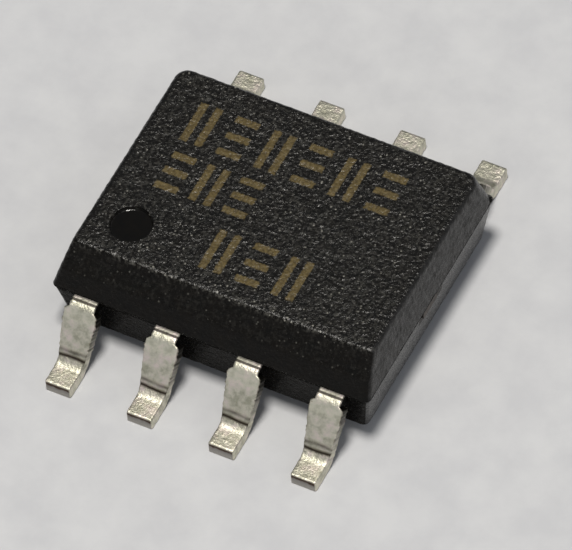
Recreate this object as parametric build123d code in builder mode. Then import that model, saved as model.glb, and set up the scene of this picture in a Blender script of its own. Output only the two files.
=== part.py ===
from build123d import *
from math import radians, sin, tan
import os

# A small outline integrated circuit with eight gull wing leads, in millimetres.
# X runs along the rows of leads, Y across them, and Z up from the plane that the feet stand on.
# Lead 1 is at the left end of the near row, and the numbers run counterclockwise from above.

# Driving dimensions: the rows of leads
leads_per_row = 4
lead_pitch = 1.27
end_margin = 0.56            # from the middle of the last lead to the end of the body

# Driving dimensions: moulded body
body_width = 3.90            # across the rows, at the parting line
standoff = 0.15              # clear height under the body
lower_height = 0.83          # underside to parting line
upper_height = 0.57          # parting line to top face
upper_draft = 13.0           # degrees that the upper walls lean in
lower_draft = 10.0           # degrees that the lower walls lean in
mould_step = 0.01            # how far the lower half stands back at the parting line
bevel_setback = 0.48         # parting line to the edge of the top face on the pin 1 side
bevel_drop = 0.31            # depth of the 45 degree bevel
corner_round = 0.10          # upright corners, and the ends of the bevel
far_corner_round = 0.20      # upright corners of the upper half, away from the bevel
edge_round = 0.08            # rim of the top face and of the underside
dimple_diameter = 0.60
dimple_depth = 0.05
dimple_from_end = 0.765
dimple_from_bevel = 0.56
ejector_diameter = 0.80
ejector_depth = 0.03
ejector_spacing = 2.40
gate_width = 0.70            # scar where the compound was broken off its runner
gate_height = 0.20
gate_depth = 0.035

# Driving dimensions: lead frame strip and outer leads
lead_thickness = 0.20
neck_width = 0.38            # lead where it leaves the body
dambar_width = 0.53          # across the sheared stubs of the dam bar
dambar_reach = 0.16          # body edge to the stubs, in plan
dambar_length = 0.12         # stubs along the lead, in plan
dambar_slope = 0.05          # how far each end of a stub slants
root_width = 0.50            # leg just below the stubs
foot_width = 0.39
shoulder_reach = 0.12        # body edge to the corner of shoulder and leg
leg_tilt = 33.0              # degrees from upright
foot_length = 0.375          # corner of leg and foot to the toe
shoulder_bend = 0.06         # inside radius
heel_bend = 0.18             # inside radius

# Driving dimensions: lead frame inside the body
finger_width = 0.52
finger_length = 0.55         # locking shoulder to the tip of a straight finger
finger_gap = 0.25            # fingers to the paddle and to its tie bars
finger_corner = 0.05
lock_setback = 0.23          # body edge to the wide part of a finger
lock_hole = 0.16             # compound fills it and holds the lead
paddle_from_end = 1.25       # end of the body to the paddle
paddle_corner = 0.10
paddle_downset = 0.20        # how far the paddle is pressed below the fingers
tie_bar_width = 0.40
tie_bar_bend = 0.08          # inside radius
tie_bar_run = 0.10           # level length of bar beside the paddle, before its ramp

# Driving dimensions: die and bonds
attach_thickness = 0.03
attach_margin = 0.06         # adhesive squeezed out round the die
die_end_margin = 0.45        # end of the paddle to the die
die_side_margin = 0.275      # side of the paddle to the die
die_thickness = 0.25
bond_pad_pitch = 0.36
bond_pad_inset = 0.12        # edge of the die to the middle of a pad
bond_on_finger = 0.14        # tip of a finger to the far end of the weld
wire_diameter = 0.03
wire_sides = 8               # flats round a wire and its ball, too fine to need more
wire_loop = 0.16             # rise of a wire above the die
ball_diameter = 0.08
ball_height = 0.025
weld_length = 0.08
weld_press = 0.3             # middle of the pressed wire above the finger, in wire diameters

# Sizes that follow from those
rows = (-1, 1)
body_length = (leads_per_row - 1) * lead_pitch + 2 * end_margin
parting = standoff + lower_height
body_top = parting + upper_height
lower_length = body_length - 2 * mould_step
lower_width = body_width - 2 * mould_step
bevel_top_y = -body_width / 2 + bevel_setback
bevel_foot_y = bevel_top_y - bevel_drop
clear = 1.0                  # length by which a cutting shape overruns what it cuts
lead_places = [(i - (leads_per_row - 1) / 2) * lead_pitch for i in range(leads_per_row)]
leg_run = (parting - lead_thickness) * tan(radians(leg_tilt))
shoulder_corner = body_width / 2 + shoulder_reach
heel_corner = shoulder_corner + leg_run
toe = heel_corner + foot_length
lock_edge = body_width / 2 - lock_setback
shoulder_line = lock_edge - (finger_width - neck_width) / 2
middle_tip = shoulder_line - finger_length
corner_tip = tie_bar_width / 2 + finger_gap
paddle_length = body_length - 2 * paddle_from_end
paddle_width = 2 * (middle_tip - finger_gap)
die_length = paddle_length - 2 * die_end_margin
die_width = paddle_width - 2 * die_side_margin
die_floor = parting - paddle_downset
die_top = die_floor + attach_thickness + die_thickness


def leaning_block(height, base_z, length, width, draft):
    """A block whose four walls lean in by the draft, upwards or downwards."""
    lean = 2 * abs(height) * tan(radians(draft))
    with BuildPart() as block:
        with BuildSketch(Plane.XY.offset(base_z)):
            Rectangle(length, width)
        with BuildSketch(Plane.XY.offset(base_z + height)):
            Rectangle(length - lean, width - lean)
        loft(ruled=True)
    return block.part


def is_corner(edge):
    """Whether an edge climbs by more than 30 degrees, as the corners and the ends of the bevel do."""
    return abs((edge % 0.5).Z) > sin(radians(30))


# Upper half of the body: leaning walls, with the bevel that marks the pin 1 side
with BuildPart() as upper_half:
    add(leaning_block(upper_height, parting, body_length, body_width, upper_draft))
    with BuildSketch(Plane.YZ.offset(-body_length / 2 - clear)):
        with BuildLine():
            Polyline(
                (-body_width / 2, parting),
                (bevel_foot_y, body_top - bevel_drop),
                (bevel_top_y, body_top),
                (bevel_top_y, body_top + clear),
                (-body_width / 2 - clear, body_top + clear),
                (-body_width / 2 - clear, parting),
                close=True,
            )
        make_face()
    extrude(amount=body_length + 2 * clear, mode=Mode.SUBTRACT)
    fillet(upper_half.edges().filter_by(is_corner).group_by(Axis.Y)[-1], radius=far_corner_round)
    fillet(upper_half.edges().filter_by(lambda e: is_corner(e) and e.center().Y < 0), radius=corner_round)
    fillet(upper_half.faces().sort_by(Axis.Z)[-1].edges(), radius=edge_round)
    with BuildSketch(Plane.XY.offset(body_top)):
        with Locations((-body_length / 2 + dimple_from_end, bevel_top_y + dimple_from_bevel)):
            Circle(dimple_diameter / 2)
    extrude(amount=-dimple_depth, mode=Mode.SUBTRACT)
    dimple_floor = upper_half.faces().filter_by(Axis.Z).sort_by(Axis.Z)[-2]
    fillet(dimple_floor.edges(), radius=dimple_depth / 2)

# Lower half of the body: a little smaller all round, with two marks from the ejector pins
with BuildPart() as lower_half:
    add(leaning_block(-lower_height, parting, lower_length, lower_width, lower_draft))
    fillet(lower_half.edges().filter_by(is_corner), radius=corner_round)
    fillet(lower_half.faces().sort_by(Axis.Z)[0].edges(), radius=edge_round)
    with BuildSketch(Plane.XY.offset(standoff)):
        with GridLocations(ejector_spacing, 0, 2, 1):
            Circle(ejector_diameter / 2)
    extrude(amount=ejector_depth, mode=Mode.SUBTRACT)

# Outer form of the whole body, before the pieces inside are taken out of it
with BuildPart() as body_form:
    add(upper_half.part)
    add(lower_half.part)
    with BuildSketch(Plane.YZ.offset(lower_length / 2 - gate_depth)):
        with Locations((0, parting - gate_height / 2)):
            Rectangle(gate_width, gate_height)
    extrude(amount=clear, mode=Mode.SUBTRACT)


def outward_plane(place, row):
    """Upright plane through the middle of a lead: x points out of the body, y points up."""
    return Plane(origin=(place, 0, 0), x_dir=(0, row, 0), z_dir=(row, 0, 0))


def plan_plane(place, row, inward):
    """Level plane under a lead: x points along the row by the sign given, y out of the body."""
    return Plane(origin=(place, 0, 0), x_dir=(inward, 0, 0), z_dir=(0, 0, inward * row))


def mirrored(points):
    """The same points on the other side of the lead, in the opposite order."""
    return [(-x, y) for x, y in reversed(points)]


def outer_edge():
    """Plan of one side of a lead from its finger to its toe, as (half width, distance out)."""
    stub = body_width / 2 + dambar_reach
    return [
        (neck_width / 2, lock_edge),
        (neck_width / 2, stub),
        (dambar_width / 2, stub + dambar_slope),
        (dambar_width / 2, stub + dambar_length),
        (root_width / 2, stub + dambar_length + dambar_slope),
        (foot_width / 2, heel_corner),
        (foot_width / 2, toe),
    ]


def middle_finger():
    """Plan of one side of a straight finger, from its tip to its locking shoulder."""
    return [(finger_width / 2, middle_tip), (finger_width / 2, shoulder_line)]


def corner_finger(place):
    """Plan of a finger at the end of a row, which turns in beside the end of the paddle."""
    near = abs(place) - paddle_length / 2 - finger_gap
    knee = lock_edge - finger_width
    return [
        (-finger_width / 2, shoulder_line),
        (-finger_width / 2, knee),
        (0, corner_tip),
        (near, corner_tip),
        (near, corner_tip + finger_width),
        (finger_width / 2, knee),
        (finger_width / 2, shoulder_line),
    ]


def lead_plan(place, at_end):
    """The whole plan of a lead as a closed run of points."""
    right = outer_edge()
    finger = middle_finger()
    inside = corner_finger(place) if at_end else mirrored(finger) + finger
    return right + mirrored(right) + inside


def make_lead(place, row, at_end):
    """One lead: a strip bent to its side profile, then cut to its plan."""
    inward = -1 if place > 0 else 1
    with BuildPart() as lead:
        with BuildSketch(outward_plane(place, row)):
            with BuildLine():
                FilletPolyline(
                    (0, parting),
                    (shoulder_corner, parting),
                    (heel_corner, lead_thickness),
                    (toe, lead_thickness),
                    radius=[shoulder_bend + lead_thickness, heel_bend],
                )
                offset(amount=lead_thickness, side=Side.RIGHT)
            make_face()
        extrude(amount=lead_pitch, both=True)
        with BuildSketch(plan_plane(place, row, inward)):
            with BuildLine():
                Polyline(*lead_plan(place, at_end), close=True)
            make_face()
            inner_corners = vertices().filter_by(lambda v: v.Y < shoulder_line - finger_corner)
            fillet(inner_corners, radius=finger_corner)
            with Locations((0, shoulder_line - finger_width / 2)):
                Circle(lock_hole / 2, mode=Mode.SUBTRACT)
        extrude(amount=body_top, both=True, mode=Mode.INTERSECT)
    return lead.part


# The eight leads, numbered along the near row and back along the far one
leads = {}
for row in rows:
    for i, place in enumerate(lead_places):
        number = i + 1 if row < 0 else 2 * leads_per_row - i
        leads[number] = make_lead(place, row, i in (0, leads_per_row - 1))

# Paddle under the die, pressed down below the fingers, with a tie bar to each end of the body
ramp_foot = paddle_length / 2 + tie_bar_run
ramp_head = ramp_foot + paddle_downset
with BuildPart() as die_paddle:
    with BuildSketch(Plane.XZ):
        with BuildLine():
            FilletPolyline(
                (0, die_floor),
                (ramp_foot, die_floor),
                (ramp_head, parting),
                (body_length / 2, parting),
                radius=[tie_bar_bend, tie_bar_bend + lead_thickness],
            )
            offset(amount=lead_thickness, side=Side.RIGHT)
        make_face()
        mirror(about=Plane.YZ)
    extrude(amount=paddle_width, both=True)
    with BuildSketch():
        Rectangle(paddle_length, paddle_width)
        fillet(vertices(), radius=paddle_corner)
        Rectangle(body_length, tie_bar_width)
    extrude(amount=body_top, mode=Mode.INTERSECT)
    add(body_form.part, mode=Mode.INTERSECT)

# Adhesive and die, centred on the paddle
with BuildPart() as die_attach:
    with BuildSketch(Plane.XY.offset(die_floor)):
        RectangleRounded(die_length + 2 * attach_margin, die_width + 2 * attach_margin, attach_margin)
    extrude(amount=attach_thickness)

with BuildPart() as die:
    with BuildSketch(Plane.XY.offset(die_floor + attach_thickness)):
        Rectangle(die_length, die_width)
    extrude(amount=die_thickness)


def wire_ends(i, row, place):
    """Where a wire starts on the die and where it is welded to its finger, in plan."""
    pad = Vector((i - (leads_per_row - 1) / 2) * bond_pad_pitch, row * (die_width / 2 - bond_pad_inset))
    if i in (0, leads_per_row - 1):
        side = 1 if place > 0 else -1
        weld_x = side * (paddle_length / 2 + finger_gap + bond_on_finger)
        return pad, Vector(weld_x, row * (corner_tip + bond_on_finger))
    return pad, Vector(place, row * (middle_tip + bond_on_finger))


def make_wire(pad, weld):
    """A bond wire: a ball on the die, a rise, a slope down and a flattened weld on the finger."""
    reach = (weld - pad).length
    weld_height = parting - die_top + wire_diameter * weld_press
    along = (weld - pad).normalized()
    wire_plane = Plane(
        origin=(pad.X, pad.Y, die_top),
        x_dir=(along.X, along.Y, 0),
        z_dir=(along.Y, -along.X, 0),
    )
    with BuildPart() as wire:
        with BuildLine(wire_plane):
            route = Polyline(
                (0, ball_height),
                (0, wire_loop),
                (reach - weld_length, weld_height),
                (reach, weld_height),
            )
        with BuildSketch(Plane(origin=route @ 0, z_dir=route % 0)):
            RegularPolygon(wire_diameter / 2, wire_sides)
        sweep(transition=Transition.RIGHT)
        split(bisect_by=Plane.XY.offset(parting), keep=Keep.TOP)
        with BuildSketch(Plane.XY.offset(die_top)):
            with Locations((pad.X, pad.Y)):
                RegularPolygon(ball_diameter / 2, wire_sides)
        extrude(amount=ball_height)
    return wire.part


wires = {}
for row in rows:
    for i, place in enumerate(lead_places):
        number = i + 1 if row < 0 else 2 * leads_per_row - i
        wires[number] = make_wire(*wire_ends(i, row, place))

# The moulded body is its outer form less every piece that it is moulded round
with BuildPart() as moulded_body:
    add(body_form.part)
    for number in leads:
        add(leads[number], mode=Mode.SUBTRACT)
    add(die_paddle.part, mode=Mode.SUBTRACT)
    add(die_attach.part, mode=Mode.SUBTRACT)
    add(die.part, mode=Mode.SUBTRACT)
    for number in wires:
        add(wires[number], mode=Mode.SUBTRACT)

# Every piece is labelled and written to a file of its own
pieces = {
    "moulded_body": moulded_body.part,
    "die_paddle": die_paddle.part,
    "die_attach": die_attach.part,
    "die": die.part,
}
for number in leads:
    pieces[f"lead_{number}"] = leads[number]
    pieces[f"bond_wire_{number}"] = wires[number]

os.makedirs("parts", exist_ok=True)
for name, piece in pieces.items():
    piece.label = name
    export_step(piece, f"parts/{name}.step")
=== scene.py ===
# %% [markdown]
# # A small outline chip on a pale table
#
# The object is an integrated circuit in its smallest common housing with legs. It is 4.9 mm long. A black
# moulded housing holds eight leads, four on each long side, and every lead is bent down and out so that its
# foot lies flat on a circuit board.
#
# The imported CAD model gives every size. What the photograph adds is surface: the rough grain that a spark
# eroded mould leaves, tin plate that was pressed and scuffed when the leads were formed, and bare copper where
# they were cut. At this scale those are as large as the edges of the parts, so the housing and the leads are
# built again here as fine meshes inside the CAD sizes. The pieces sealed in the housing keep their CAD meshes.

# %%  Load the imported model
from math import cos, pi, radians, sin, sqrt, tan

import bmesh
import bpy
import numpy as np
from mathutils import Matrix, Vector, noise


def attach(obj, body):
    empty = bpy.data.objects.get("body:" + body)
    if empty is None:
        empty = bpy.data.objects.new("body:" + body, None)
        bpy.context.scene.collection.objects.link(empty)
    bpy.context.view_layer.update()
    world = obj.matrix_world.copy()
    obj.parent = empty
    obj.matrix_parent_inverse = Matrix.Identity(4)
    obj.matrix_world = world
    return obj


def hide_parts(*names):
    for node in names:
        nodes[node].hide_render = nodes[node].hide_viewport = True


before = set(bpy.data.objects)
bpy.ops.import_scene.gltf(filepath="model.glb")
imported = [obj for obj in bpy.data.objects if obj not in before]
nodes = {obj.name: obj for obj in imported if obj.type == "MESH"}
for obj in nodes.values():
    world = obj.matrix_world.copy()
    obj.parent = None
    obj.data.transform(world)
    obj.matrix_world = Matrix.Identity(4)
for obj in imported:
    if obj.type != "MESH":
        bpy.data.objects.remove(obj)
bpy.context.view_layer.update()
print(len(nodes), "CAD nodes:", ", ".join(sorted(nodes)))

# %% [markdown]
# ## Sizes
#
# All values here are in millimetres, as in the part's own source, and one factor turns them into Blender's
# metres. A visual mesh that repeats a CAD form starts from the same numbers, so that it can't drift off it.

# %%  Sizes of the real object, in millimetres
MILLIMETRE = 0.001

body_length, body_width = 4.93, 3.90
underside, parting, top = 0.15, 0.98, 1.55
upper_draft, lower_draft = 13.0, 10.0
mould_step = 0.010
bevel_top, bevel_foot = -1.47, -1.78
bevel_foot_height = 1.24

lead_places = (-1.905, -0.635, 0.635, 1.905)
lead_thickness = 0.20
shoulder_corner, heel_corner, toe = 2.07, 2.5765, 2.9515
print("housing", body_length, "by", body_width, "mm, leads out to", 2 * toe, "mm")

# %% [markdown]
# ## Helpers for meshes
#
# Both fine meshes have the same plan: a grid of points for one end, rings of points down the sides, and a
# second end. That is a box pulled into shape, and its faces stay nearly square all over, which a fine grain
# needs. The places round the edge of the first grid are the first ring, so ends and sides share their points.
#
# The meshes could also come from subdivided boxes and a remesh, but rings follow the moulding's profile
# exactly, and every point knows where it lies on the piece. That lets later steps press a groove or mark the
# cut end without searching for it.

# %%  Grid, rings and faces
def edge_places(columns, rows):
    """The places round the edge of a grid, anticlockwise from its lower left corner."""
    lower = [(i, 0) for i in range(columns)]
    right = [(columns, j) for j in range(rows)]
    upper = [(i, rows) for i in range(columns, 0, -1)]
    left = [(0, j) for j in range(rows, 0, -1)]
    return lower + right + upper + left


def grid_faces(number_of, columns, rows, turned=False):
    """The square faces of a grid, where number_of gives the point at a place."""
    faces = []
    for i in range(columns):
        for j in range(rows):
            face = [number_of(i, j), number_of(i + 1, j), number_of(i + 1, j + 1), number_of(i, j + 1)]
            faces.append(face[::-1] if turned else face)
    return faces


def band_faces(upper, lower):
    """The faces between two rings, given as lists of point numbers."""
    count = len(upper)
    return [[upper[k], lower[k], lower[(k + 1) % count], upper[(k + 1) % count]] for k in range(count)]


def round_corners(x, y, x_low, x_high, y_low, y_high, low_radius, high_radius=None):
    """Presses the points of a rectangle into the same rectangle with round corners.

    The corners at the high end of y may have a radius of their own.
    """
    high_radius = low_radius if high_radius is None else high_radius
    radius = np.where(y < (y_low + y_high) / 2, low_radius, high_radius)
    away_x = x - np.clip(x, x_low + radius, x_high - radius)
    away_y = y - np.clip(y, y_low + radius, y_high - radius)
    pressed_x = away_x * (np.sqrt(1 - (away_y / radius) ** 2 / 2) - 1)
    pressed_y = away_y * (np.sqrt(1 - (away_x / radius) ** 2 / 2) - 1)
    return x + pressed_x, y + pressed_y


print("a 3 by 2 grid has", len(edge_places(3, 2)), "places round its edge")

# %%  Points and faces to an object
def new_piece(name, points, faces, values=None):
    """Makes an object from points in millimetres, with a number per point stored under each name."""
    mesh = bpy.data.meshes.new(name)
    mesh.from_pydata((np.asarray(points) * MILLIMETRE).tolist(), [], faces)
    mesh.validate()
    for title, numbers in (values or {}).items():
        layer = mesh.attributes.new(title, "FLOAT", "POINT")
        layer.data.foreach_set("value", np.asarray(numbers, np.float32))
    mesh.polygons.foreach_set("use_smooth", [True] * len(mesh.polygons))
    piece = bpy.data.objects.new(name, mesh)
    bpy.context.scene.collection.objects.link(piece)
    return piece


def outward(points, faces):
    """The direction that the surface faces at each point."""
    points, corners = np.asarray(points, float), np.asarray(faces)
    diagonal_a = points[corners[:, 2]] - points[corners[:, 0]]
    diagonal_b = points[corners[:, 3]] - points[corners[:, 1]]
    normals = np.zeros_like(points)
    for k in range(4):
        np.add.at(normals, corners[:, k], np.cross(diagonal_a, diagonal_b))
    return normals / np.maximum(np.linalg.norm(normals, axis=1, keepdims=True), 1e-12)


def waves(points, size, seed):
    """A smooth random height between about -1 and 1 at each point, with bumps of the given size."""
    shift = Vector((17.3, 5.1, 9.7)) * seed
    return np.array([noise.noise(Vector(p) / size + shift) for p in np.asarray(points).tolist()])


print("waves at one point:", waves([(0.3, 0.2, 0.1)], 0.05, 1).round(3))

# %% [markdown]
# ## The housing
#
# The compound is forced into two steel halves round the lead frame. Both halves lean, so that the part comes
# out, and the lower one is a little smaller, which leaves a step along the parting line. The bevel along the
# near side shows which row starts at lead 1. The upper corners are rounder on the far side than at the bevel.
#
# Each ring of the mesh is the outline at one height. Its four sides are worked out from the lean, the bevel
# and the rounded rim, so one short list of heights gives the whole form.

# %%  The housing's outline at a height
rim_round = 0.08
rim_flat = rim_round * tan(radians(90 - upper_draft) / 2)
foot_flat = rim_round * tan(radians(90 - lower_draft) / 2)
bevel_round = 0.08
near_corner, far_corner = 0.10, 0.20


def inset_at(height):
    """How far the leaning wall stands inside the largest outline."""
    if height >= parting:
        return (height - parting) * tan(radians(upper_draft))
    return mould_step + (parting - height) * tan(radians(lower_draft))


def bevel_side_at(height):
    """The near side: the wall up to the foot of the bevel, the bevel, and the round at its top."""
    if height < bevel_foot_height:
        share = (height - parting) / (bevel_foot_height - parting)
        return -body_width / 2 + share * (bevel_foot + body_width / 2)
    arc_start = bevel_top + bevel_round * tan(radians(45) / 2)
    arc_depth = bevel_round * (1 - cos(radians(45)))
    if height < top - arc_depth:
        return bevel_top - (top - height)
    rise = height - (top - bevel_round)
    return arc_start - sqrt(max(bevel_round ** 2 - rise ** 2, 0))


def outline(height, inset, lower=False):
    """Half length, near side, far side, height, and the near and far corner radius of one ring."""
    near = inset - body_width / 2 if lower else bevel_side_at(height)
    rounded_off = inset - inset_at(height)
    far_radius = near_corner if lower else far_corner
    return (body_length / 2 - inset, near, body_width / 2 - inset, height,
            near_corner - rounded_off, far_radius - rounded_off)


print("wall inset at the top", round(inset_at(top), 4), "mm")

# %%  The list of rings from the rim down to the underside
rings = []
for step in range(6):
    turn = radians(90 - upper_draft) * step / 5
    inset = inset_at(top) + rim_flat - rim_round * sin(turn)
    rings.append(outline(top - rim_round * (1 - cos(turn)), inset))
for height in np.linspace(rings[-1][3], parting + 0.006, 25)[1:]:
    rings.append(outline(height, inset_at(height)))
rings.append(outline(parting, 0.002))
rings.append(outline(parting, mould_step * 0.5, lower=True))
wall_end = underside + rim_round * (1 - sin(radians(lower_draft)))
wall_heights = [*(parting - np.array([0.001, 0.007, 0.014, 0.022, 0.032])), *np.linspace(parting - 0.05, wall_end, 26)]
for height in wall_heights:
    rings.append(outline(height, inset_at(height), lower=True))
for step in range(1, 5):
    turn = radians(90 - lower_draft) * (1 - step / 4)
    inset = inset_at(underside) + foot_flat - rim_round * sin(turn)
    rings.append(outline(underside + rim_round * (1 - cos(turn)), inset, lower=True))
print(len(rings), "rings")

# %% [markdown]
# ## The top face and the dimple
#
# A cell of 0.02 mm is about one and a half pixels of the photograph, so the top face takes some 36 thousand
# cells. The dimple is the print of a polished pin in the mould, with a steep wall and a flat floor. Points
# near its rim are moved onto the circle, and those next to them to the foot of the wall, which gives two clean
# edges without a separate round patch.

# %%  The top grid with its dimple
cell = 0.02
half_length, near_side, far_side, _, near_radius, far_radius = rings[0]
columns = round(2 * half_length / cell)
rows = round((far_side - near_side) / cell)
dimple_x, dimple_y = -body_length / 2 + 0.765, bevel_top + 0.56
dimple_radius, dimple_depth, dimple_lean = 0.30, 0.05, 0.012

grid_x, grid_y = np.meshgrid(
    np.linspace(-half_length, half_length, columns + 1),
    np.linspace(near_side, far_side, rows + 1),
    indexing="ij",
)
pressed_x, pressed_y = round_corners(grid_x.ravel(), grid_y.ravel(), -half_length, half_length,
                                     near_side, far_side, near_radius, far_radius)
top_points = np.stack([pressed_x, pressed_y, np.full(grid_x.size, top)], axis=1)

from_centre = top_points[:, :2] - (dimple_x, dimple_y)
distance = np.linalg.norm(from_centre, axis=1)
on_rim = np.abs(distance - dimple_radius) < cell / 2
at_foot = np.abs(distance - dimple_radius + cell) <= cell / 2
for chosen, circle in ((on_rim, dimple_radius), (at_foot & ~on_rim, dimple_radius - dimple_lean)):
    top_points[chosen, :2] = (dimple_x, dimple_y) + from_centre[chosen] / distance[chosen, None] * circle
inside = (distance < dimple_radius) & ~on_rim
top_points[inside, 2] = top - dimple_depth
in_dimple = np.zeros(len(top_points))
in_dimple[inside] = 1
print(columns, "by", rows, "cells,", int(inside.sum()), "points in the dimple")

# %%  The rings below it, and the faces
def top_number(i, j):
    """The number of the top point at a place of the grid."""
    return i * (rows + 1) + j


places = edge_places(columns, rows)
u = np.array([i / columns for i, j in places])
v = np.array([j / rows for i, j in places])
housing_points = [top_points]
housing_faces = grid_faces(top_number, columns, rows)
last_ring = [top_number(i, j) for i, j in places]
total = len(top_points)
for half_x, near, far, height, near_radius, far_radius in rings[1:]:
    x = -half_x + 2 * half_x * u
    y = near + (far - near) * v
    x, y = round_corners(x, y, -half_x, half_x, near, far, near_radius, far_radius)
    housing_points.append(np.stack([x, y, np.full(len(x), height)], axis=1))
    ring = list(range(total, total + len(places)))
    housing_faces += band_faces(last_ring, ring)
    last_ring = ring
    total += len(places)
housing_points = np.concatenate(housing_points)
in_dimple = np.concatenate([in_dimple, np.zeros(total - len(in_dimple))])
print(total, "points,", len(housing_faces), "faces before the underside is closed")

# %% [markdown]
# ## Grain of the mould
#
# Spark erosion melts small pits into the steel, one beside the other, and the compound takes their print. On
# such housings the grain is about 0.04 to 0.1 mm wide and some 0.01 mm deep. The coarser half of it is real
# relief in the mesh, so that it also breaks the line of each edge, and the finer half is left to the bump in
# the material. The floor of the dimple stays nearly smooth. All relief goes inward, so that the housing keeps
# its size.
#
# The parting line is ragged, because a film of compound creeps between the halves and is broken off. Just
# below it the break has left a narrow notch, deepest toward the right rear. The notch is painted near black
# as the shade in it.

# %%  Relief of the housing
grain_crest = 0.85      # taken off every height, so that no bump stands above the CAD surface
upper_grain, lower_grain, dimple_grain = 0.0088, 0.0060, 0.0004
notch_below = 0.016     # middle of the notch, under the parting line

smooth_points = housing_points
point_x, point_y, point_z = smooth_points.T
facing = outward(smooth_points, housing_faces)
grain = 0.6 * waves(smooth_points, 0.075, 1) + 0.5 * waves(smooth_points, 0.045, 2)
depth = np.where(point_z > bevel_foot_height, upper_grain, lower_grain)
depth = np.where(in_dimple > 0, dimple_grain, depth)
relief = facing * ((grain - grain_crest) * depth)[:, None]

below_parting = parting - point_z
ragged = 0.008 + 0.010 * waves(smooth_points, 0.11, 3) + 0.006 * waves(smooth_points, 0.035, 4)
notch = 0.012 + 0.014 * waves(smooth_points, 0.30, 6) + 0.010 * waves(smooth_points, 0.06, 7)
notch += 0.012 * (point_x > body_length / 2 - 0.2) * (point_y > 0.6)
pushed_in = np.maximum(ragged, 0) * np.exp(-(below_parting / 0.010) ** 2)
pushed_in += np.maximum(notch, 0) * np.exp(-((below_parting - notch_below) / 0.009) ** 2)
relief -= facing * (1, 1, 0) * pushed_in[:, None]
# How much painted shade the notch gets: it is coloured near black where shade falls in it.
notch_shade = np.clip(notch / 0.02, 0, 1) * np.exp(-((below_parting - notch_below) / 0.010) ** 2)
housing_points = smooth_points + relief
print("relief up to", round(float(np.linalg.norm(relief, axis=1).max()), 4), "mm")

# %% [markdown]
# The surface isn't the same all over. The top carries painted glints on its grain, partly also real rubbing,
# with a painted highlight band along the edge at the bevel and hardly any at its two ends. The long walls are
# dull, and the end walls are streaked from the mould's draw. Two numbers at each point say so, and the
# material reads them.

# %% Where the housing carries painted glints and where it is dull
# A painted highlight band along the rounded edge above the bevel, where the lamp is mirrored.
bevel_edge_highlight = np.exp(-(np.maximum(np.abs(point_y - bevel_top - 0.02) - 0.03, 0) / 0.05) ** 2)
on_top = (point_z > top - 0.03) & (in_dimple < 0.5)
on_bevel = (point_z > bevel_foot_height) & (point_y < bevel_top)
from_ends = np.clip((half_length + 0.02 - np.abs(point_x)) / 0.10, 0.1, 1)
glints_and_rubbing = np.where(on_top, from_ends, np.where(on_bevel, 0.30, 0.05))
glints_and_rubbing += 0.9 * bevel_edge_highlight * (point_z > top - 0.06)
glints_and_rubbing = np.where(in_dimple > 0, 0.0, glints_and_rubbing)

lower_long_wall = (point_z < parting) & (np.abs(facing[:, 1]) > 0.7)
upper_near_wall = (point_z > parting) & (facing[:, 1] < -0.4) & (in_dimple < 0.5)
dull = np.where(upper_near_wall, 0.72, np.where(lower_long_wall, 1.0, 0.0))
streaks = waves(smooth_points * (1, 1, 0.3), 0.055, 9) + 0.6 * waves(smooth_points, 0.16, 10)
dull = np.where(np.abs(facing[:, 0]) > 0.7, np.clip(0.22 + 0.42 * streaks, 0, 0.9), dull)
print("rubbed up to", round(float(glints_and_rubbing.max()), 2), "and dull on", int((dull > 0).sum()), "points")

# %% [markdown]
# ## Where the tie bars and the runner were broken off
#
# The paddle under the die is held by a bar to each end of the housing, and the bars are cut off flush. At the
# right end the compound also came in there, and its stub was snapped off, so the wall has a shallow rough
# patch below the parting line. The wall is pushed in over both places. The cut ends of the bars are CAD
# pieces, and they show in these pockets.

# %%  Pockets in the two ends
def pressed_in(points, x_sign, half_wide, low, high, amount):
    """How far the end wall is pushed in at each point, with soft sides one cell wide."""
    side = (points[:, 0] * x_sign > body_length / 2 - 0.25).astype(float)
    across = np.clip((half_wide - np.abs(points[:, 1])) / cell, 0, 1)
    upward = np.clip((high - points[:, 2]) / 0.004, 0, 1) * np.clip((points[:, 2] - low) / cell, 0, 1)
    return side * across * upward * amount


gate_half, gate_low, gate_floor = 0.35, 0.78, 0.035
bar_half, bar_low, bar_floor = 0.205, 0.775, 0.03
pocket_high = parting - 0.002
broken = 1 + 0.5 * waves(housing_points, 0.05, 5)
scar = pressed_in(housing_points, 1, gate_half, gate_low, pocket_high, gate_floor) * broken
bar_right = pressed_in(housing_points, 1, bar_half, bar_low, pocket_high, bar_floor)
bar_left = pressed_in(housing_points, -1, bar_half, bar_low, pocket_high, bar_floor)
housing_points[:, 0] -= scar + bar_right
housing_points[:, 0] += bar_left
scarred = np.clip(scar / gate_floor, 0, 1)
print("deepest pocket", round(float((scar + bar_right).max()), 3), "mm")

# %% [markdown]
# ## The print on the top face
#
# The face carries three rows of plain bars in ochre ink, upright pairs and level stacks in turn. A bar is a
# rectangle, and the distance from a point to the nearest bar is worked out once for each point of the top
# face. The material turns that distance into ink with a slightly ragged edge.

# %%  Bars of the print
stroke = 0.115
pair_offset, stack_half = 0.115, 0.18


def upright_pair(x, y, tall):
    """Two bars side by side, as centre and half size."""
    return [(x + side * pair_offset, y, stroke / 2, tall / 2) for side in (-1, 1)]


def level_stack(x, y, tall):
    """Three level bars above each other."""
    lift = (tall - stroke) / 2
    return [(x, y + k * lift, stack_half, stroke / 2) for k in (-1, 0, 1)]


print_rows = (
    {"left": -1.60, "middle": 1.01, "tall": 0.70, "marks": "ululul", "pitch": 0.575},
    {"left": -1.55, "middle": 0.13, "tall": 0.66, "marks": "lul", "pitch": 0.53},
    {"left": -0.36, "middle": -0.82, "tall": 0.70, "marks": "ulu", "pitch": 0.56},
)
bars = []
for line in print_rows:
    for k, mark in enumerate(line["marks"]):
        make = level_stack if mark == "l" else upright_pair
        bars += make(line["left"] + k * line["pitch"], line["middle"], line["tall"])
print(len(bars), "bars")

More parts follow.
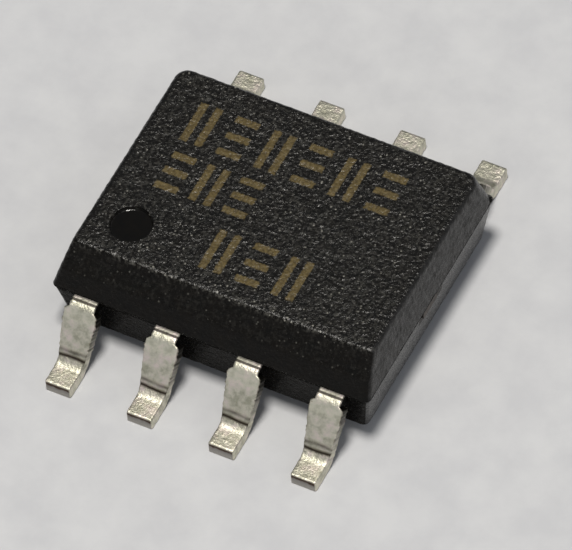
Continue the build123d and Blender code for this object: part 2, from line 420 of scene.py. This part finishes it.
# %%  Distance from each point to the nearest bar
to_print = np.full(len(housing_points), 1.0)
flat = housing_points[: len(top_points)]
for x, y, half_wide, half_tall in bars:
    over_x = np.abs(flat[:, 0] - x) - half_wide
    over_y = np.abs(flat[:, 1] - y) - half_tall
    beyond = np.hypot(np.maximum(over_x, 0), np.maximum(over_y, 0))
    bar_distance = beyond + np.minimum(np.maximum(over_x, over_y), 0)
    to_print[: len(flat)] = np.minimum(to_print[: len(flat)], bar_distance)
print(int((to_print < 0).sum()), "points carry ink")

# %% [markdown]
# ## The underside
#
# The last ring is closed with a flat face that has two round marks, where pins pushed the part out of the
# mould. Blender can fill a flat outline that has holes in it, so the marks are rings of their own, joined to
# small sunk discs.

# %%  Close the underside with its two ejector marks
ejector_places, ejector_radius, ejector_depth, ejector_points = (-1.20, 1.20), 0.40, 0.03, 40

housing = new_piece("moulded_housing", housing_points, housing_faces, {
    "dimple": in_dimple,
    "glints_and_rubbing": glints_and_rubbing,
    "dull": dull,
    "scar": scarred,
    "notch": notch_shade,
    "to_print": to_print,
})
dimple_wall = [0.5 < sum(in_dimple[n] for n in face) < 3.5 for face in housing_faces]
housing.data.polygons.foreach_set("use_smooth", [not sharp for sharp in dimple_wall])
work = bmesh.new()
work.from_mesh(housing.data)
open_edges = [edge for edge in work.edges if edge.is_boundary]
for centre in ejector_places:
    rim = []
    for k in range(ejector_points):
        angle = 2 * pi * k / ejector_points
        rim.append(Vector((centre + ejector_radius * cos(angle), ejector_radius * sin(angle), underside)) * MILLIMETRE)
    outer = [work.verts.new(p) for p in rim]
    inner = [work.verts.new(p + Vector((0, 0, ejector_depth * MILLIMETRE))) for p in rim]
    for k in range(ejector_points):
        after = (k + 1) % ejector_points
        open_edges.append(work.edges.new((outer[k], outer[after])))
        work.faces.new((outer[k], outer[after], inner[after], inner[k]))
    work.faces.new(inner[::-1])
side_shade_share = bmesh.ops.triangle_fill(work, edges=open_edges, use_beauty=True)
bmesh.ops.recalc_face_normals(work, faces=work.faces)
loose = sum(1 for edge in work.edges if not edge.is_manifold)
work.to_mesh(housing.data)
work.free()
print("faces on the underside:", len(side_shade_share["geom"]), "- open edges left:", loose)

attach(housing, "root")
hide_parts("moulded_body")

# %% [markdown]
# ## Helpers for materials
#
# Colours are written as the sRGB hex values that a picture program shows, and one function turns them into
# the linear values that Blender mixes. Another function adds a node together with its settings, its fixed
# values and the wires that come into it, so a material reads as a list of what it does.
#
# Patterns are measured in millimetres on the object: the object's own coordinates are in metres, and one node
# multiplies them by 1000. A noise scale is then simply bumps per millimetre.

# %%  Colour, node and material
def linear(hex_colour):
    """An sRGB hex value such as #C8BFA9 as linear red, green, blue and alpha."""
    channels = [int(hex_colour[k:k + 2], 16) / 255 for k in (1, 3, 5)]
    bent = [c / 12.92 if c <= 0.04045 else ((c + 0.055) / 1.055) ** 2.4 for c in channels]
    return (*bent, 1.0)


def add_node(tree, kind, values=None, links=None, **settings):
    """Adds a node: settings are its options, values its sockets, links the wires into it."""
    node = tree.nodes.new(kind)
    for option, setting in settings.items():
        setattr(node, option, setting)
    for socket, value in (values or {}).items():
        node.inputs[socket].default_value = value
    for socket, source in (links or {}).items():
        tree.links.new(source, node.inputs[socket])
    return node


def new_material(name):
    """An empty material, its node tree, its main shader, and the place on the object in millimetres."""
    material = bpy.data.materials.new(name)
    material.use_nodes = True
    tree = material.node_tree
    shader = tree.nodes["Principled BSDF"]
    place = add_node(tree, "ShaderNodeTexCoord")
    millimetres = add_node(tree, "ShaderNodeVectorMath", {"Scale": 1000.0},
                           {0: place.outputs["Object"]}, operation="SCALE")
    return material, tree, shader, millimetres.outputs["Vector"]


def ramp(tree, source, stops):
    """Turns a number into a colour: stops are pairs of position and hex value."""
    node = add_node(tree, "ShaderNodeValToRGB", links={"Fac": source})
    while len(node.color_ramp.elements) < len(stops):
        node.color_ramp.elements.new(0.5)
    for element, (position, hex_colour) in zip(node.color_ramp.elements, stops):
        element.position = position
        element.color = linear(hex_colour)
    return node.outputs["Color"]


def noise_of(tree, place, scale, detail, roughness=0.5):
    """A noise pattern with so many bumps per millimetre."""
    values = {"Scale": scale, "Detail": detail, "Roughness": roughness}
    return add_node(tree, "ShaderNodeTexNoise", values, {"Vector": place}).outputs["Fac"]


def stored_number(tree, title):
    """The number that the mesh keeps at each point under a name."""
    return add_node(tree, "ShaderNodeAttribute", attribute_name=title).outputs["Fac"]


def spread(tree, value, from_range, to_range=(0.0, 1.0), **settings):
    """Maps one range of numbers to another and stops at its ends."""
    limits = {"From Min": from_range[0], "From Max": from_range[1], "To Min": to_range[0], "To Max": to_range[1]}
    return add_node(tree, "ShaderNodeMapRange", limits, {"Value": value}, **settings).outputs["Result"]


def multiply_add(tree, value, factor, added):
    """A number times a fixed factor, plus another number."""
    node = add_node(tree, "ShaderNodeMath", {1: factor}, {0: value, 2: added}, operation="MULTIPLY_ADD")
    return node.outputs["Value"]


def blend(tree, share, colour_a, colour_b):
    """Mixes two colours by a share. The second is a wire or a hex value."""
    fixed = isinstance(colour_b, str)
    wires = {"Factor": share, "A": colour_a} if fixed else {"Factor": share, "A": colour_a, "B": colour_b}
    node = add_node(tree, "ShaderNodeMix", links=wires, data_type="RGBA")
    if fixed:
        node.inputs["B"].default_value = linear(colour_b)
    return node.outputs["Result"]


print("mid grey #808080 is", round(linear("#808080")[0], 3), "linear")

# %% [markdown]
# ## Black moulding compound
#
# The compound is epoxy filled with fine silica and a little carbon black. Its colour is nearly black. Pale
# flecks are painted on it as glints of the grain, partly also silica showing at rubbed grain tips: a crowd of
# faint flecks, and single bright dots 0.02 to 0.03 mm wide. Both are cut from noise by a threshold, and they
# show only where the mesh asks for them: on the top, as a painted highlight band along its front edge, and
# hardly on the walls. A finer bump and a fairly glossy skin do the rest. The walls that look down, or lay
# against dust, are duller.

# %% Spark eroded epoxy with painted glints on its grain
epoxy, tree, shader, place = new_material("moulded_epoxy_spark_eroded")
tone = ramp(tree, noise_of(tree, place, 6.0, 4.0), ((0.30, "#070604"), (0.70, "#0D0A06")))

crowded = multiply_add(tree, noise_of(tree, place, 7.0, 3.0, 0.6), 0.35, noise_of(tree, place, 20.0, 2.0, 0.6))
tips = spread(tree, crowded, (0.66, 1.00), (0.0, 0.20))

dots = add_node(tree, "ShaderNodeTexVoronoi", {"Scale": 13.0, "Randomness": 1.0}, {"Vector": place})
dot_shape = spread(tree, dots.outputs["Distance"], (0.24, 0.08), interpolation_type="SMOOTHSTEP")
dot_chance = add_node(tree, "ShaderNodeSeparateColor", links={0: dots.outputs["Color"]})
dot_light = spread(tree, dot_chance.outputs[0], (0.40, 1.0))
tips_and_dots = add_node(tree, "ShaderNodeMath", links={0: dot_shape, 1: dot_light, 2: tips}, operation="MULTIPLY_ADD")
# Pale flecks and dots are painted glints, partly rubbed silica, laid on only where the mesh asks for them.
pale = add_node(tree, "ShaderNodeMath", links={0: tips_and_dots.outputs["Value"], 1: stored_number(tree, "glints_and_rubbing")},
                operation="MULTIPLY", use_clamp=True)
grained = blend(tree, pale.outputs["Value"], tone, "#8C8A82")
print("epoxy has", len(tree.nodes), "nodes so far")

# %% The ochre ink, the broken patch and the painted shade in the notch
pits = noise_of(tree, place, 22.0, 3.0, 0.6)
ragged_edge = multiply_add(tree, noise_of(tree, place, 26.0, 2.0), 0.05, stored_number(tree, "to_print"))
ink = spread(tree, ragged_edge, (0.035, 0.012), (0.0, 0.86), interpolation_type="SMOOTHSTEP")
inked = blend(tree, ink, grained, ramp(tree, pits, ((0.35, "#4C4128"), (0.62, "#6E603D"))))

broken_tone = ramp(tree, noise_of(tree, place, 55.0, 2.0, 0.6), ((0.40, "#2A2724"), (0.62, "#5A544C")))
with_scar = blend(tree, stored_number(tree, "scar"), inked, broken_tone)
# The notch is painted near black: painted shade under the parting line.
with_notch_shade = blend(tree, stored_number(tree, "notch"), with_scar, "#030303")
tree.links.new(with_notch_shade, shader.inputs["Base Color"])
print("epoxy has", len(tree.nodes), "nodes so far")

# %%  Bump, gloss and gleam of the epoxy
in_dimple_value = stored_number(tree, "dimple")
grain_strength = spread(tree, in_dimple_value, (0.0, 1.0), (1.0, 0.08))
grain_bump = add_node(tree, "ShaderNodeBump", {"Distance": 0.000014}, {"Strength": grain_strength, "Height": pits})
tree.links.new(grain_bump.outputs["Normal"], shader.inputs["Normal"])

gloss = spread(tree, noise_of(tree, place, 30.0, 2.0), (0.3, 0.7), (0.22, 0.32))
polished = spread(tree, in_dimple_value, (0.0, 1.0), (1.0, 0.5))
gloss = add_node(tree, "ShaderNodeMath", links={0: gloss, 1: polished}, operation="MULTIPLY")
tree.links.new(gloss.outputs["Value"], shader.inputs["Roughness"])
gleam = spread(tree, stored_number(tree, "dull"), (0.0, 1.0), (0.5, 0.02))
tree.links.new(gleam, shader.inputs["Specular IOR Level"])
shader.inputs["IOR"].default_value = 1.55
housing.data.materials.append(epoxy)
print("epoxy done:", len(tree.nodes), "nodes")

# %% [markdown]
# ## The leads
#
# A lead is a strip of copper 0.20 mm thick. It is stamped flat, plated with tin, then pressed over a tool into
# the shape of a wing: level out of the housing, down, and level again as a foot. While the leads were still
# joined, a bar ran across them just outside the housing. Where it was cut away, a short stub stays on each
# side, so the strip is widest there.
#
# The mesh follows the bent line with a cross section of rounded corners. Each point remembers how far along,
# across and deep in the strip it is, and the later steps use that.

# %%  The bent line of a lead
def bent_line(corners, radii, step):
    """Points along a line with rounded corners, and the direction square to it at each."""
    out, square = [], []
    start = Vector(corners[0])
    for k in range(1, len(corners) - 1):
        corner = Vector(corners[k])
        come = (corner - Vector(corners[k - 1])).normalized()
        go = (Vector(corners[k + 1]) - corner).normalized()
        turn = come.angle_signed(go)
        reach = radii[k - 1] * tan(abs(turn) / 2)
        arc_start = corner - come * reach
        steps = max(2, round((arc_start - start).length / step))
        for j in range(steps):
            out.append(start.lerp(arc_start, j / steps))
            square.append(Vector((-come.y, come.x)))
        hand = 1 if turn < 0 else -1
        side = Vector((-come.y, come.x)) * hand
        centre = arc_start + side * radii[k - 1]
        steps = max(6, round(radii[k - 1] * abs(turn) / step))
        for j in range(steps):
            angle = abs(turn) * j / steps * hand
            spun = Matrix.Rotation(angle, 2) @ (-side)
            out.append(centre + spun * radii[k - 1])
            square.append(spun * -hand)
        start = corner + go * reach
    steps = max(2, round((Vector(corners[-1]) - start).length / step))
    for j in range(steps + 1):
        out.append(start.lerp(Vector(corners[-1]), j / steps))
        square.append(Vector((-go.y, go.x)))
    return out, square


inner_end = 1.80            # where the fine mesh ends inside the housing
shoulder_shift = 0.015      # the real shoulder is a little further out and tighter than the CAD's
shoulder_radius, heel_radius, ring_step = 0.22, 0.18, 0.012
lead_corners = ((inner_end, parting), (shoulder_corner + shoulder_shift, parting),
                (heel_corner, lead_thickness), (toe, lead_thickness))
top_line, top_square = bent_line(lead_corners, (shoulder_radius, heel_radius), ring_step)
along = np.concatenate([[0], np.cumsum([(b - a).length for a, b in zip(top_line, top_line[1:])])])
print(len(top_line), "steps along a lead of", round(float(along[-1]), 3), "mm")

# %%  Width of the strip
neck_wide, stub_wide, leg_wide, foot_wide = 0.38, 0.50, 0.48, 0.39
stub_start = body_width / 2 + 0.16
width_points = (
    (inner_end, neck_wide),
    (stub_start, neck_wide),
    (stub_start + 0.03, stub_wide),
    (stub_start + 0.12, stub_wide),
    (stub_start + 0.17, leg_wide),
    (heel_corner, foot_wide),
    (toe, foot_wide),
)
reach_of = np.array([p.x for p in top_line])
width_of = np.interp(reach_of, [p[0] for p in width_points], [p[1] for p in width_points])
print("widest", round(float(width_of.max()), 3), "mm, at the foot", round(float(width_of[-1]), 3), "mm")

# %%  Cross section: even cells, closer together at the corners
edge_round = 0.022


def section_steps(size, count):
    """Shares of a side, with extra points where the corner is rounded."""
    corner = edge_round / size
    return np.concatenate([[0, corner / 3, corner * 2 / 3], np.linspace(corner, 1 - corner, count),
                           [1 - corner * 2 / 3, 1 - corner / 3, 1]])


typical_wide, across_cells, depth_cells = 0.45, 15, 7
across_steps = section_steps(typical_wide, across_cells)
depth_steps = section_steps(lead_thickness, depth_cells)
section_columns, section_rows = len(across_steps) - 1, len(depth_steps) - 1
section_places = edge_places(section_columns, section_rows)
section_u = np.array([across_steps[i] for i, j in section_places])
section_v = np.array([depth_steps[j] for i, j in section_places])
print(len(section_places), "points round the strip")

# %% [markdown]
# ## Marks of cutting and forming
#
# A stamped edge is never straight at this scale: it is torn over part of its thickness, and the cut stubs are
# the roughest. The tool that bends the foot bites two fine grooves across the strip just above the heel. Each
# lead gets its own seed, so no two are alike.

# %%  The rings of one outer lead
groove_heights = (0.375, 0.300)
groove_widths = (0.028, 0.030)
groove_strengths = (0.7, 1.0)
groove_deep, edge_wander, edge_tear = 0.016, 0.014, 0.018

# How bright the strip is painted at each distance out. High values are painted highlights, on the outer bend
# and just below the grooves, over real rubbing of the bend and the foot; values below 0 paint a dark band
# across the neck, the reflection of the black housing there.
sheen_and_wear_reaches = (1.955, 1.972, 1.992, 2.000, 2.028, 2.042, 2.16, 2.25, 2.500, 2.520, 2.545, 2.60, 3.0)
sheen_and_wear_amounts = (-0.40, 0.40, 0.40, -0.90, -0.90, 1.20, 1.20, 0.55, 0.50, 1.30, 0.30, 0.80, 0.90)


def lead_rings(seed):
    """Points of every ring as across, out and up, with the numbers stored at them."""
    chance = np.random.default_rng(seed)
    phases = chance.uniform(0, 6, len(groove_heights))
    line_points = np.stack([along, along * 0, along * 0], axis=1)
    wander = waves(line_points, 0.05, seed)
    torn = np.stack([waves(line_points, 0.040, seed + 0.5), waves(line_points, 0.040, seed + 0.7)])
    points, groove_shade, cut, deep, sheen_and_wear, flash_and_side_shade = [], [], [], [], [], []
    for k, (line, square) in enumerate(zip(top_line, top_square)):
        on_stub = stub_start + 0.02 < line.x < stub_start + 0.15
        rough = 1.0 if on_stub else 0.7 if stub_start < line.x < heel_corner - 0.1 else 0.3
        wide = width_of[k] + edge_wander * wander[k] * rough
        drawn_in = max(0.0, edge_round - (toe - line.x)) * 0.6
        x, d = round_corners((section_u - 0.5) * (wide - 2 * drawn_in),
                             drawn_in + section_v * (lead_thickness - 2 * drawn_in),
                             drawn_in - wide / 2, wide / 2 - drawn_in,
                             drawn_in, lead_thickness - drawn_in, edge_round - drawn_in * 0.9)
        side = np.abs(section_u - 0.5) > 0.499
        tear = np.where(x > 0, torn[0, k], torn[1, k]) * rough
        x = x + side * np.sign(x) * edge_tear * tear
        nip = np.zeros(len(x))
        for height, wide_nip, strong, phase in zip(groove_heights, groove_widths, groove_strengths, phases):
            sway = 0.008 * np.sin(section_u * 4 + phase)
            patchy = 1 - 0.5 * (1 - strong) * (1 + np.sin(section_u * 9 + 2 * phase))
            nip = np.maximum(nip, strong * patchy * np.exp(-((line.y - height - sway) / wide_nip) ** 2))
        nip = nip * (d < edge_round)
        d = d + groove_deep * nip
        points.append(np.stack([x, line.x - square.x * d, line.y - square.y * d], axis=1))
        groove_shade.append(nip)
        # Share of painted shade on the sides: full by the neck, where some real resin flash also lies, fading out down
        # the leg.
        side_shade_share = float(np.interp(line.x, (stub_start, stub_start + 0.06, 2.30, 2.50), (1.0, 0.8, 0.55, 0.0)))
        flash_and_side_shade.append(side * side_shade_share * (d > 0.02))
        cut.append(side * (0.5 if on_stub else np.clip(-2 * tear, 0, 0.5)))
        deep.append(d)
        brightness_here = np.interp(line.x, sheen_and_wear_reaches, sheen_and_wear_amounts)
        sheen_and_wear.append(np.full(len(x), brightness_here))
    return [np.concatenate(parts) for parts in (points, groove_shade, cut, deep, sheen_and_wear, flash_and_side_shade)]


print(len(lead_rings(1)[0]), "points in the rings of a lead")

# %%  The two ends that close it
def end_grid(ring):
    """Inner points of the grid that closes a ring, and the number of each place of that grid."""
    number = {place: k for k, place in enumerate(section_places)}
    low_x, high_x = ring[:, 0].min(), ring[:, 0].max()
    first = ring[number[(0, 0)]]
    last = ring[number[(0, section_rows)]]
    inner = []
    for i in range(1, section_columns):
        for j in range(1, section_rows):
            share = depth_steps[j]
            x = low_x + (high_x - low_x) * across_steps[i]
            number[(i, j)] = len(section_places) + len(inner)
            inner.append((x, *(first[1:] * (1 - share) + last[1:] * share)))
    return np.array(inner), number


print("an end takes", (section_columns - 1) * (section_rows - 1), "inner points")

# %% [markdown]
# The part of a lead inside the housing is its finger, with a hole that the compound grips. Nobody sees it, so
# it is taken from the CAD mesh as it is: the mesh is cut through inside the housing wall, and the cut is
# closed.

# %%  The finger from the CAD mesh
def finger_of(node, row):
    """Points in millimetres and faces of the part of a CAD lead that lies inside the housing."""
    work = bmesh.new()
    work.from_mesh(nodes[node].data)
    bmesh.ops.remove_doubles(work, verts=work.verts, dist=0.0000001)
    everything = work.verts[:] + work.edges[:] + work.faces[:]
    bmesh.ops.bisect_plane(work, geom=everything, plane_co=(0, row * inner_end * MILLIMETRE, 0),
                           plane_no=(0, row, 0), clear_outer=True)
    bmesh.ops.holes_fill(work, edges=[edge for edge in work.edges if edge.is_boundary])
    work.verts.index_update()
    points = np.array([vert.co[:] for vert in work.verts]) / MILLIMETRE
    faces = [[vert.index for vert in face.verts] for face in work.faces]
    work.free()
    return points, faces


print("finger of lead_1:", len(finger_of("lead_1", -1)[1]), "faces")

# %% [markdown]
# ## Eight leads from one function
#
# The far row is the near row mirrored. A mirror turns faces inside out, so the normals are worked out again at
# the end, when each lead is a closed body.

# %%  Make the leads
def make_lead(name, middle, row, seed):
    """One whole lead as an object."""
    ring_points, *numbers = lead_rings(seed)
    stored = {title: [value] for title, value in zip(("groove_shade", "cut", "deep", "sheen_and_wear", "flash_and_side_shade"), numbers)}
    count = len(section_places)
    made = len(ring_points) // count
    faces = []
    for k in range(made - 1):
        faces += band_faces(list(range(k * count, (k + 1) * count)), list(range((k + 1) * count, (k + 2) * count)))
    points = [ring_points]
    total = len(ring_points)
    for ring_start, is_toe in ((0, False), (len(ring_points) - count, True)):
        inner, number = end_grid(ring_points[ring_start:ring_start + count])
        shift = total - count
        place_number = {place: (ring_start + n if n < count else shift + n) for place, n in number.items()}
        faces += grid_faces(lambda i, j: place_number[(i, j)], section_columns, section_rows, turned=is_toe)
        points.append(inner)
        total += len(inner)
        for title, value in (("groove_shade", 0.0), ("cut", float(is_toe)), ("deep", 0.0), ("sheen_and_wear", 0.5), ("flash_and_side_shade", 0.0)):
            stored[title].append(np.full(len(inner), value))
        if is_toe:
            stored["deep"][-1] = np.tile(depth_steps[1:-1] * lead_thickness, section_columns - 1)
            stored["cut"][0][-count:] = 0.5
    points = np.concatenate(points)
    worked = 0.0024 * waves(points, 0.10, seed + 20) + 0.0020 * waves(points, 0.045, seed + 40) - 0.0024
    points = points + outward(points, faces) * np.minimum(worked, 0)[:, None]
    # Nothing may pass the CAD's toe or its sole.
    points[:, 1] = np.minimum(points[:, 1], toe)
    points[:, 2] = np.maximum(points[:, 2], 0)
    points = np.stack([middle + points[:, 0], row * points[:, 1], points[:, 2]], axis=1)

    finger_points, finger_faces = finger_of(name, row)
    outer_faces = len(faces)
    faces = faces + [[total + n for n in face] for face in finger_faces]
    values = {title: np.concatenate(parts + [np.zeros(len(finger_points))]) for title, parts in stored.items()}
    piece = new_piece("tinned_" + name, np.concatenate([points, finger_points]), faces, values)
    for polygon in piece.data.polygons[outer_faces:]:
        polygon.use_smooth = False
    work = bmesh.new()
    work.from_mesh(piece.data)
    bmesh.ops.recalc_face_normals(work, faces=work.faces)
    leaks = sum(1 for edge in work.edges if not edge.is_manifold)
    work.to_mesh(piece.data)
    work.free()
    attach(piece, "root")
    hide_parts(name)
    return piece, leaks


leads = []
for row in (-1, 1):
    for place_in_row, middle in enumerate(lead_places):
        number = place_in_row + 1 if row < 0 else 8 - place_in_row
        lead, leaks = make_lead(f"lead_{number}", middle, row, number)
        leads.append(lead)
        print(lead.name, len(lead.data.polygons), "faces, open edges:", leaks)

# %% [markdown]
# ## Matt tin over copper
#
# The plate is a few thousandths of a millimetre of tin, matt as it comes from the bath and rubbed bright where
# a tool slid over it, on the outer bend and on the foot. On the bend and just below the grooves a painted
# highlight adds to that. Tin is a warm grey metal, so the shader is fully metallic, and patches of gloss do
# most of the work. A thin dark band is painted across the neck just off the housing, as the reflection of the
# black housing there. The sides of the strip are painted nearly black by the housing, fading down the leg:
# painted shade and reflection of the housing, with real resin flash by the neck. The grooves are painted dark
# as the shade in them. Copper shows where the strip was cut after plating: at the toe and, smeared, along the
# stamped sides.

# %%  Tin plate
tin, tree, shader, place = new_material("matt_tin_plate_on_copper")
cloud = noise_of(tree, place, 7.0, 4.0, 0.6)
speck = noise_of(tree, place, 24.0, 3.0, 0.7)
dull_tone = ramp(tree, cloud, ((0.34, "#8F8E80"), (0.50, "#BFBBB1"), (0.66, "#D0C3C4")))
bright_tone = ramp(tree, cloud, ((0.34, "#C4C2AF"), (0.50, "#DBD8C6"), (0.66, "#E9DFD3")))

# The stored number paints highlights bright and the neck band dark, over real rubbing, and also sets the gloss.
patchy_sheen_and_wear = multiply_add(tree, speck, 0.9, stored_number(tree, "sheen_and_wear"))
sheen_and_wear = spread(tree, patchy_sheen_and_wear, (0.40, 1.40))
tin_tone = blend(tree, sheen_and_wear, dull_tone, bright_tone)
# Painted dark band across the neck: the reflection of the black housing in the tin just off it.
with_neck_reflection = blend(tree, spread(tree, patchy_sheen_and_wear, (0.60, -0.30), (0.0, 0.9)), tin_tone, "#47433C")
stained = blend(tree, spread(tree, speck, (0.66, 0.76), (0.0, 0.7)), with_neck_reflection, "#8C7250")
# The two grooves are painted dark brown as the shade in them.
with_groove_shade = blend(tree, stored_number(tree, "groove_shade"), stained, "#332820")
print("tin has", len(tree.nodes), "nodes so far")

# %%  Bare copper at the cuts, and the gloss
smear = multiply_add(tree, cloud, 0.14, stored_number(tree, "deep"))
copper_tone = ramp(tree, smear, (
    (0.045, "#8A7C66"), (0.058, "#3A281C"), (0.115, "#4A3628"), (0.150, "#8F8C88"), (0.24, "#A6A29C")))
cut_face = blend(tree, stored_number(tree, "cut"), with_groove_shade, copper_tone)
# The sides are painted nearly black near the housing: painted shade and reflection of the housing, with some real
# resin flash.
with_side_shade = blend(tree, stored_number(tree, "flash_and_side_shade"), cut_face, "#14120F")
tree.links.new(with_side_shade, shader.inputs["Base Color"])
shader.inputs["Metallic"].default_value = 1.0

tree.links.new(spread(tree, sheen_and_wear, (0.0, 1.0), (0.60, 0.44)), shader.inputs["Roughness"])
skin = add_node(tree, "ShaderNodeBump", {"Distance": 0.000010, "Strength": 1.0}, {"Height": speck})
tree.links.new(skin.outputs["Normal"], shader.inputs["Normal"])
for lead in leads:
    lead.data.materials.append(tin)
print("tin done:", len(tree.nodes), "nodes")

# %% [markdown]
# ## Pieces sealed in the housing
#
# Their CAD meshes stay as they are and get the finish of the real piece: oxidised copper for the paddle, grey
# adhesive full of silver flakes, polished silicon, and gold wire. Only the cut ends of the paddle's bars are
# ever seen from outside.

# %%  Finishes of the inner pieces
def simple_finish(name, low, high, scale, metallic, roughness, depth):
    """A finish of two tones with a fine noise between them, and a slight relief."""
    material, tree, shader, place = new_material(name)
    mottle = noise_of(tree, place, scale, 3.0)
    tree.links.new(ramp(tree, mottle, ((0.35, low), (0.65, high))), shader.inputs["Base Color"])
    relief = add_node(tree, "ShaderNodeBump", {"Distance": depth, "Strength": 1.0}, {"Height": mottle})
    tree.links.new(relief.outputs["Normal"], shader.inputs["Normal"])
    shader.inputs["Metallic"].default_value = metallic
    shader.inputs["Roughness"].default_value = roughness
    return material


finishes = {
    "die_paddle": simple_finish("oxidised_copper_strip", "#3B3531", "#57504A", 18.0, 0.8, 0.50, 0.000004),
    "die_attach": simple_finish("silver_filled_adhesive", "#8C8C8A", "#B9B9B6", 60.0, 0.6, 0.55, 0.000003),
    "die": simple_finish("polished_silicon", "#3A3D44", "#4A4E57", 8.0, 0.8, 0.12, 0.0000002),
}
gold = simple_finish("drawn_gold_wire", "#D9A441", "#E8BE6A", 90.0, 1.0, 0.22, 0.0000005)
for number in range(1, 9):
    finishes[f"bond_wire_{number}"] = gold
for node, material in finishes.items():
    nodes[node].data.materials.clear()
    nodes[node].data.materials.append(material)
print(len(finishes), "inner pieces have a finish")

# %% [markdown]
# ## Table, light and camera
#
# The chip lies on white card, under one broad lamp nearly overhead, so that its shadow is short. Round the
# horizon the sky is as pale as the card. Above that it is dim behind and to the left, which keeps the top and
# the bevel dark, and paler to the right and in front, which lights the end wall and the legs.
#
# The camera stands well above the chip and turned off its near side, with a very long lens at a hand's
# distance. Its angles, distance and focal length were fitted to the corners of the housing and of the leads.

# %%  Table
table_radius = 600.0      # in millimetres, far past the picture
rim_points = 96
turns = [2 * pi * k / rim_points for k in range(rim_points)]
rim = [(table_radius * cos(turn), table_radius * sin(turn), 0) for turn in turns]
table = new_piece("card_table", rim, [list(range(rim_points))])
card, tree, shader, place = new_material("white_card")
fibre = noise_of(tree, place, 1.2, 5.0, 0.6)
tree.links.new(ramp(tree, fibre, ((0.36, "#C9CACD"), (0.64, "#D2D3D5"))), shader.inputs["Base Color"])
shader.inputs["Roughness"].default_value = 0.9
table.data.materials.append(card)
print("table", 2 * table_radius * MILLIMETRE, "m across")

# %%  Lamp and sky
def area_lamp(name, place, aim, wide, watts, hex_colour):
    """A round lamp at a place, in metres, turned to a point."""
    light = bpy.data.lights.new(name, "AREA")
    light.shape = "DISK"
    light.size = wide
    light.energy = watts
    light.color = linear(hex_colour)[:3]
    lamp = bpy.data.objects.new(name, light)
    lamp.location = place
    lamp.rotation_euler = (Vector(aim) - Vector(place)).to_track_quat("-Z", "Y").to_euler()
    bpy.context.scene.collection.objects.link(lamp)
    return lamp


overhead = area_lamp("overhead_softbox", (0.014, -0.034, 0.30), (0, 0, 0), 0.066, 0.74, "#FFFBF4")

world = bpy.data.worlds.new("studio_sky")
bpy.context.scene.world = world
world.use_nodes = True
sky_tree = world.node_tree
heading = add_node(sky_tree, "ShaderNodeTexCoord")
split = add_node(sky_tree, "ShaderNodeSeparateXYZ", links={0: heading.outputs["Generated"]})
sky = ramp(sky_tree, split.outputs["Z"], ((0.0, "#CDCED1"), (0.04, "#7C7F84"), (0.10, "#575A5F"), (1.0, "#53565A")))
to_the_right = spread(sky_tree, split.outputs["X"], (0.1, 0.9))
to_the_front = spread(sky_tree, split.outputs["Y"], (-0.4, -0.8))
for paler_side in (to_the_right, to_the_front):
    sky = blend(sky_tree, paler_side, sky, "#B3B5B9")
sky_tree.links.new(sky, sky_tree.nodes["Background"].inputs["Color"])
sky_tree.nodes["Background"].inputs["Strength"].default_value = 1.0
print("lamp", overhead.name, "and sky", world.name)

# %%  Camera at the photograph's angle
azimuth, elevation, roll = radians(32.31), radians(53.60), radians(-6.44)
distance_mm, focal_pixels, picture_wide = 169.4, 12256.0, 572
sensor_wide = 36.0
back = Vector((sin(azimuth) * cos(elevation), -cos(azimuth) * cos(elevation), sin(elevation)))
level_right = Vector((cos(azimuth), sin(azimuth), 0))
level_up = back.cross(level_right)
right = level_right * cos(roll) + level_up * sin(roll)
up = level_up * cos(roll) - level_right * sin(roll)
aim = Vector((0, 0, 0.8)) + level_right * 0.121 - level_up * 0.382

camera_data = bpy.data.cameras.new("camera")
camera_data.sensor_width = sensor_wide
camera_data.lens = focal_pixels * sensor_wide / picture_wide
camera_data.clip_start, camera_data.clip_end = 0.005, 5.0
camera = bpy.data.objects.new("camera", camera_data)
camera.matrix_world = Matrix((
    (right.x, up.x, back.x, 0),
    (right.y, up.y, back.y, 0),
    (right.z, up.z, back.z, 0),
    (0, 0, 0, 1),
))
camera.location = (aim + back * distance_mm) * MILLIMETRE
bpy.context.scene.collection.objects.link(camera)
bpy.context.scene.camera = camera
bpy.context.scene.view_settings.view_transform = "Standard"
print("camera", [round(c, 4) for c in camera.location], "lens", round(camera_data.lens, 1))
